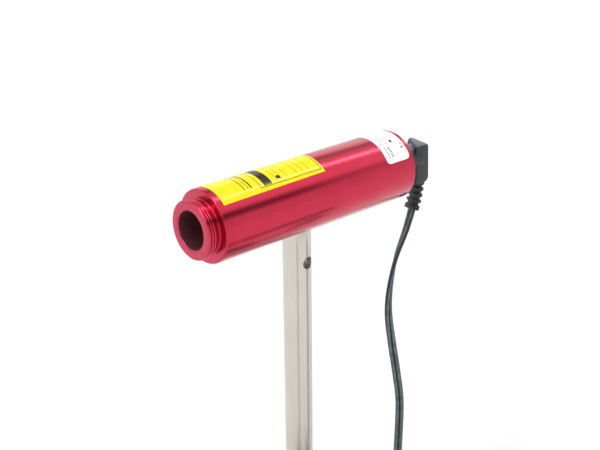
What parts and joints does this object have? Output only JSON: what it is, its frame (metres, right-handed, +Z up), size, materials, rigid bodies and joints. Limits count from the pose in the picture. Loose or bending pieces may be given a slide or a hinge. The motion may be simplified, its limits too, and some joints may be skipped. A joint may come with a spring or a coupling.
{
  "type": "laser diode module on a stand rod",
  "caption": "Round laser diode module with a ringed nose and aperture, carried crosswise on a plain stand rod and fed through a right-angle plug by a thin lead from a plug-in supply.",
  "frame": {"origin": "centre of the stand rod's lower end face", "axes": "+Z up along the stand rod; -Y the way the beam leaves the aperture; +X to the left of someone who looks into the aperture, on the side where the lead is put away"},
  "size_m": [0.0942, 0.105, 0.1626],
  "materials": {
    "crimson_anodised": "satin",
    "satin_rod": "satin",
    "black_steel": "satin",
    "black_abs": "matte",
    "nickel_plate": "polished",
    "spring_bronze": "satin",
    "tinned_brass": "satin",
    "grey_moulding": "satin",
    "plain_aluminium": "satin",
    "turned_brass": "satin",
    "clear_lens": "clear",
    "gold_can": "polished",
    "board_green": "satin",
    "chip_black": "matte",
    "trimmer_blue": "satin",
    "can_aluminium": "satin",
    "wire_red": "satin",
    "wire_black": "satin",
    "yellow_film": "satin",
    "white_film": "matte",
    "grey_lead": "satin",
    "supply_black": "matte"
  },
  "bodies": {
    "root": {"housing": "crimson_anodised", "stand_rod": "satin_rod", "rod_stud": "black_steel", "cap_screw": "black_steel", "rear_cap": "black_abs", "power_jack": "black_abs", "jack_nut": "nickel_plate", "jack_pin": "nickel_plate", "jack_leaf": "spring_bronze", "jack_terminals": "tinned_brass", "plug_sleeve": "nickel_plate", "plug_insulator": "black_abs", "plug_contact": "tinned_brass", "plug_moulding": "grey_moulding", "module_sleeve": "plain_aluminium", "module_barrel": "turned_brass", "lens_cell": "turned_brass", "collimating_lens": "clear_lens", "lens_spacer": "plain_aluminium", "diode_seat": "turned_brass", "diode_can": "gold_can", "diode_window": "clear_lens", "diode_pins": "gold_can", "driver_board": "board_green", "driver_chip": "chip_black", "trim_pot": "trimmer_blue", "board_capacitor": "can_aluminium", "board_resistors": "chip_black", "supply_wire_red": "wire_red", "supply_wire_black": "wire_black", "yellow_label": "yellow_film", "white_label": "white_film", "power_lead": "grey_lead", "power_lead_coil": "grey_lead", "power_lead_tail": "grey_lead", "lead_tie": "black_abs", "supply_base": "supply_black", "supply_cover": "supply_black", "supply_relief": "grey_moulding", "supply_pins": "nickel_plate"}
  },
  "joints": []
}
